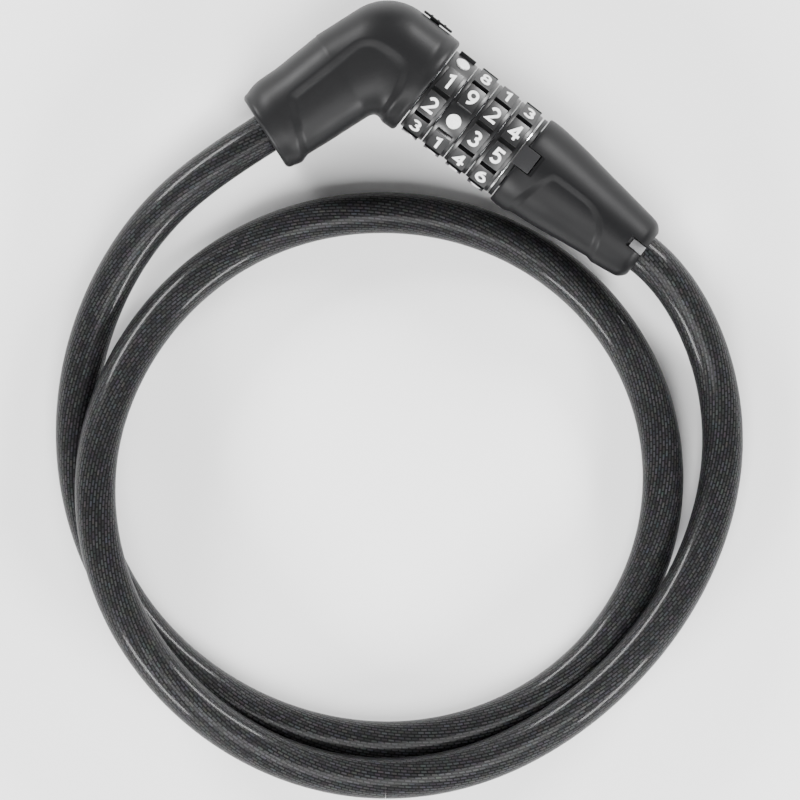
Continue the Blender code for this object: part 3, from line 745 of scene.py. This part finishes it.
def stroke_mesh(shape, line, top, bottom, place):
    """Raised flat stroke of even width along a line, closed if the line ends where it starts."""
    line = np.array(line, float)
    closed = np.allclose(line[0], line[-1])
    if closed:
        line = line[:-1]
    count = len(line)
    left, right = [], []
    for i in range(count):
        before = line[i - 1] if i or closed else 2 * line[0] - line[1]
        after = line[(i + 1) % count] if i < count - 1 or closed else 2 * line[-1] - line[-2]
        d0 = (line[i] - before) / np.linalg.norm(line[i] - before)
        d1 = (after - line[i]) / np.linalg.norm(after - line[i])
        n0 = np.array([-d0[1], d0[0]])
        n1 = np.array([-d1[1], d1[0]])
        mitre = (n0 + n1) / max(1.0 + n0 @ n1, 0.35)
        left.append(line[i] + mitre * DIGIT_STROKE / 2)
        right.append(line[i] - mitre * DIGIT_STROKE / 2)
    rings = []
    for l, r in zip(left, right):
        corners = [(*l, bottom), (*l, top), (*r, top), (*r, bottom)]
        rings.append([shape.verts.new(place @ (Vector(c) * MM)) for c in corners])
    spans = count if closed else count - 1
    for i in range(spans):
        a, b = rings[i], rings[(i + 1) % count]
        for k in range(4):
            m = (k + 1) % 4
            shape.faces.new((a[k], a[m], b[m], b[k]))
    if not closed:
        shape.faces.new(rings[0])
        shape.faces.new(rings[-1][::-1])


def digit_place(along, up_angle):
    """Frame on a dial land: local X along the barrel, local Y up the digit, local Z outwards."""
    turn = Matrix.Rotation(radians(-up_angle), 4, "X")
    return (Matrix.Translation((along * MM, 0.0, AXIS_HEIGHT * MM)) @ turn)


def make_digits(number, plain):
    """The nine raised digits and the dot of one dial, as one enamel inlay."""
    start = DIAL_START + (number - 1) * DIAL_PITCH
    shape = bmesh.new()
    for digit, lines in DIGIT_LINES.items():
        place = digit_place(start + LAND_CENTRE, plain - DIGIT_STEP * digit)
        for level, line in enumerate(lines):
            lift = DIGIT_RELIEF - 0.01 * level
            stroke_mesh(shape, line, LAND_HEIGHT + lift, LAND_HEIGHT - 0.3, place)
    add_dot(shape, digit_place(start + DIAL_WIDTH / 2, plain))
    bmesh.ops.recalc_face_normals(shape, faces=shape.faces)
    mesh = bpy.data.meshes.new("dial_%d_digits" % number)
    shape.to_mesh(mesh)
    shape.free()
    mesh.materials.append(DIGIT_WHITE)
    obj = bpy.data.objects.new(mesh.name, mesh)
    bpy.context.scene.collection.objects.link(obj)
    shade(obj, 40.0)
    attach(obj, "dial_%d" % number)


def add_dot(shape, place):
    """Round button with a shallow ring in its top, on the plain cell."""
    profile = [(0.0, 0.62), (1.6, 0.60), (1.85, 0.50), (2.1, 0.56), (2.45, 0.50), (2.75, 0.25), (2.8, -0.9)]
    around = 40
    rings = []
    for radius, height in profile[1:]:
        ring = []
        for j in range(around):
            angle = 2 * pi * j / around
            point = Vector((radius * cos(angle), radius * sin(angle), DIAL_RADIUS + height)) * MM
            ring.append(shape.verts.new(place @ point))
        rings.append(ring)
    centre = shape.verts.new(place @ (Vector((0.0, 0.0, DIAL_RADIUS + profile[0][1])) * MM))
    for j in range(around):
        shape.faces.new((centre, rings[0][j], rings[0][(j + 1) % around]))
    for a, b in zip(rings, rings[1:]):
        for j in range(around):
            k = (j + 1) % around
            shape.faces.new((a[j], b[j], b[k], a[k]))
    shape.faces.new(rings[-1][::-1])


def make_dial(number):
    start = DIAL_START + (number - 1) * DIAL_PITCH
    end = start + DIAL_WIDTH
    plain = CODE_ANGLE + DIGIT_STEP * CODE[number - 1]
    edge = 0.35
    outline = [(start, 10.9), (start, DIAL_RADIUS - edge), (start + 0.1, DIAL_RADIUS - 0.1),
               (start + edge, DIAL_RADIUS), (end - edge, DIAL_RADIUS), (end - 0.1, DIAL_RADIUS - 0.1),
               (end, DIAL_RADIUS - edge), (end, 12.4), (start + 2.3, 12.4), (start + 2.3, 10.9)]
    name = "dial_%d_body" % number
    dial = turned(name, outline, DIAL_PLASTIC, 180)
    along = (start + LAND_CENTRE - LAND_LENGTH / 2, start + LAND_CENTRE + LAND_LENGTH / 2)
    cells = [plain - DIGIT_STEP * step for step in range(1, 10)]
    lands = radial_boxes("lands", along, (15.3, LAND_HEIGHT), LAND_WIDTH, cells, DIAL_PLASTIC, 0.18)
    combine(dial, [lands], "UNION")
    gaps = [plain - DIGIT_STEP * (step + 0.5) for step in range(1, 9)]
    slots = radial_boxes("slots", (along[0] - 0.05, along[1] + 0.05), (SLOT_FLOOR, 20.0), SLOT_WIDTH, gaps,
                         DIAL_PLASTIC)
    combine(dial, [slots])
    shade(dial, 30.0)
    finish_piece(dial, "dial_%d" % number, "dial", "code_dial_%d" % number)
    make_digits(number, plain)


# Collar, plug cover and small parts

def make_collar():
    outline = [(59.65, 11.2), (59.65, 16.8), (59.85, 17.0), (61.1, 17.0), (61.3, 16.8), (61.3, 12.5),
               (67.0, 12.5), (67.0, 7.3), (65.8, 7.3), (65.8, 11.2)]
    collar = turned("collar_ring", outline, DARK_PLASTIC)
    gate = radial_boxes("gate", (65.0, 68.0), (5.0, 8.9), 3.8, [INDEX_ANGLE], DARK_PLASTIC)
    combine(collar, [gate])
    shade(collar, 30.0)
    finish_piece(collar, "lock_body", "collar", "index_collar")
    tab = radial_boxes("index_tab", (59.7, 66.9), (12.4, 18.25), 8.2, [INDEX_ANGLE], TAB_PLASTIC, 0.15)
    shade(tab, 30.0)
    finish_piece(tab, "lock_body", "collar")


def plug_profile():
    """Outer outline of the plug cover, from its rim to the cable, as (along, radius)."""
    knots = np.array(((61.6, 17.95), (62.1, 18.3), (64.0, 18.5), (67.5, 18.45), (73.0, 18.0),
                      (80.7, 17.2), (90.8, 15.8), (100.8, 14.5), (107.7, 13.6), (113.6, 12.75),
                      (115.6, 12.2), (117.0, 11.1), (117.9, 9.9), (PLUG_END, 9.2)))
    line = smooth_line(knots, 12)
    line[:, 0] = np.clip(line[:, 0], 61.6, PLUG_END)
    return line


def make_plug_cover():
    outer = resample(plug_profile(), 0.45)
    inner = [(PLUG_END, CABLE_HOLE), (117.1, CABLE_HOLE), (117.1, 10.0), (110.2, 10.0), (108.5, 11.2),
             (100.8, 12.1), (90.8, 13.4), (80.7, 14.8), (67.5, 16.1), (61.9, 15.6), (61.6, 15.8)]
    outline = [tuple(p) for p in outer] + inner
    around = 240
    angles = np.arange(around) * 360.0 / around
    count = len(outer)
    x = np.repeat(outer[:, 0], around)
    r = np.repeat(outer[:, 1], around)
    a = np.radians(np.tile(angles, count))
    scoop = recess_depth(x, r * np.sin(a), PLUG_SCOOP, SCOOP_DEPTH, SCOOP_BAND)
    scoop = dict(zip(zip(np.round(x, 6), np.round(np.degrees(a), 4)), scoop))

    def relief(along, radius, angle):
        return scoop.get((round(along, 6), round(angle, 4)), 0.0) if radius > 9.0 else 0.0

    cover = turned("plug_cover_shell", outline, PLUG_PLASTIC, around, 32.0, relief)
    notch = radial_boxes("notch", (60.0, 67.35), (13.0, 21.0), 8.8, [INDEX_ANGLE], PLUG_PLASTIC)
    ledge = radial_boxes("ledge", (67.0, 68.6), (17.75, 21.0), 8.8, [INDEX_ANGLE], PLUG_PLASTIC)
    slot = radial_boxes("slot", (111.2, 120.0), (6.0, 14.0), 4.2, [INDEX_ANGLE], PLUG_PLASTIC)
    combine(cover, [notch, ledge, slot])
    shade(cover, 32.0)
    finish_piece(cover, "plug", "cover", "plug_cover")


def make_snap_ring():
    ring = turned("snap_ring", [(110.6, 7.8), (110.6, 9.7), (116.8, 9.7), (116.8, 7.8)], GREY_PLASTIC, 96)
    finish_piece(ring, "plug", "snap_tab", "cap_retainer")
    tab = radial_boxes("snap_tab", (112.3, 117.9), (9.0, 11.7), 3.4, [INDEX_ANGLE], GREY_PLASTIC, 0.2)
    for vertex in tab.data.vertices:
        share = min(max((vertex.co.x / MM - 114.5) / 3.4, 0.0), 1.0)
        vertex.co.z -= 1.6 * share * share * MM * (vertex.co.z / MM - AXIS_HEIGHT > 10.3)
    shade(tab, 30.0)
    finish_piece(tab, "plug", "snap_tab")


def make_slider():
    """Thumb pad on the outer side of the head, on a stem that passes through the window of the cover."""
    pad_half, stem_half = 4.5, 3.0
    slider = block("code_set_pad", (SLIDER_ALONG[0], 20.7, AXIS_HEIGHT - pad_half),
                   (SLIDER_ALONG[1], 21.7, AXIS_HEIGHT + pad_half), DARK_PLASTIC, 0.4)
    extras = [block("stem", (STEM_ALONG[0], 17.9, AXIS_HEIGHT - stem_half),
                    (STEM_ALONG[1], 21.2, AXIS_HEIGHT + stem_half), DARK_PLASTIC)]
    for i in range(3):
        at = SLIDER_ALONG[0] + 3.4 + 3.0 * i
        extras.append(block("rib_%d" % (i + 1), (at - 0.5, 21.2, AXIS_HEIGHT - 3.6),
                            (at + 0.5, 22.0, AXIS_HEIGHT + 3.6), DARK_PLASTIC, 0.2))
    combine(slider, extras, "UNION")
    shade(slider, 30.0)
    finish_piece(slider, "reset_slider", "slider", "code_set_slider")


def make_reset_spring():
    """Coil between the last clutch ring and the collar."""
    turns, around, across = 3.5, 40, 12
    start, end = RESET_SPRING_ALONG[0] + SPRING_WIRE, RESET_SPRING_ALONG[1] - SPRING_WIRE
    count = int(turns * around) + 1
    points = []
    for i in range(count):
        share = i / (count - 1)
        for j in range(across):
            turn = 2 * pi * j / across
            along = start + (end - start) * share + SPRING_WIRE * sin(turn)
            radius = SPRING_RADIUS + SPRING_WIRE * cos(turn)
            points.append(barrel_point(along, radius, 90.0 + 360.0 * turns * share))
    faces = strip_faces(count, across, True)
    faces.append(tuple(range(across)))
    faces.append(tuple((count - 1) * across + j for j in range(across)))
    spring = make_piece("reset_spring_coil", points, faces, SPRING_STEEL)
    outward(spring)
    shade(spring, 40.0)
    finish_piece(spring, "lock_body", "spring", "reset_spring")
    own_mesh(spring)


def dress_cad_nodes():
    """Gives every CAD node that still shows the finish of its slot."""
    slots = {entry["node"]: entry["material_slot"] for entry in frame["record"]["subparts"]}
    for name, obj in frame["nodes"].items():
        obj.data.materials.clear()
        obj.data.materials.append(FINISHES[slots[name]])
        shade(obj, 35.0)


# Studio

def make_floor():
    mesh = bpy.data.meshes.new("studio_floor")
    shape = bmesh.new()
    bmesh.ops.create_grid(shape, x_segments=2, y_segments=2, size=4.0)
    shape.to_mesh(mesh)
    shape.free()
    floor = bpy.data.objects.new("studio_floor", mesh)
    mesh.materials.append(new_material("pale_floor", (0.93, 0.93, 0.93), 0.9, specular=0.0))
    floor.location = (0.0, 0.0, -0.0006)
    bpy.context.scene.collection.objects.link(floor)


def area_light(name, target, direction, distance, size, power):
    light = bpy.data.lights.new(name, "AREA")
    light.shape = "RECTANGLE"
    light.size, light.size_y = size
    light.energy = power
    obj = bpy.data.objects.new(name, light)
    direction = Vector(direction).normalized()
    obj.location = Vector(target) + direction * distance
    obj.rotation_euler = direction.to_track_quat("Z", "Y").to_euler()
    bpy.context.scene.collection.objects.link(obj)


def make_studio():
    make_floor()
    world = bpy.data.worlds.new("studio")
    world.use_nodes = True
    background = world.node_tree.nodes["Background"]
    background.inputs["Color"].default_value = (1.0, 1.0, 1.0, 1.0)
    background.inputs["Strength"].default_value = SKY_STRENGTH
    bpy.context.scene.world = world
    middle = VIEW_CENTRE
    area_light("key_softbox", middle, KEY_DIRECTION, 0.9, (0.5, 0.5), KEY_WATTS)
    for i in range(4):
        heading = radians(VIEW_TURN + 45.0 + 90.0 * i)
        direction = (cos(heading), sin(heading), FLOOR_LIGHT_RISE)
        area_light("floor_light_%d" % (i + 1), middle, direction, 1.5, (0.5, 0.3), FLOOR_LIGHT_WATTS)


SKY_STRENGTH = 0.24
KEY_DIRECTION = (0.31, -0.40, 0.86)
KEY_WATTS = 9.0
FLOOR_LIGHT_RISE = 0.42
FLOOR_LIGHT_WATTS = 34.0
VIEW_CENTRE = (0.0808, -0.0967, 0.019)
VIEW_TURN = 37.8
VIEW_WIDTH = 0.2927


def make_camera():
    """Looks straight down, with the barrel running down to the right."""
    data = bpy.data.cameras.new("camera")
    data.type = "ORTHO"
    data.ortho_scale = VIEW_WIDTH
    data.clip_start = 0.01
    camera = bpy.data.objects.new("camera", data)
    camera.location = (VIEW_CENTRE[0], VIEW_CENTRE[1], 1.0)
    camera.rotation_euler = (0.0, 0.0, radians(VIEW_TURN))
    bpy.context.scene.collection.objects.link(camera)
    bpy.context.scene.camera = camera


make_camera()
make_cable()
dress_cad_nodes()
make_half_cover("head_shell_top", 1.0, "head_cover_top")
make_half_cover("head_shell_bottom", -1.0, "head_cover_bottom")
for dial_number in range(1, DIAL_COUNT + 1):
    make_dial(dial_number)
make_collar()
make_plug_cover()
make_snap_ring()
make_slider()
make_reset_spring()
make_studio()
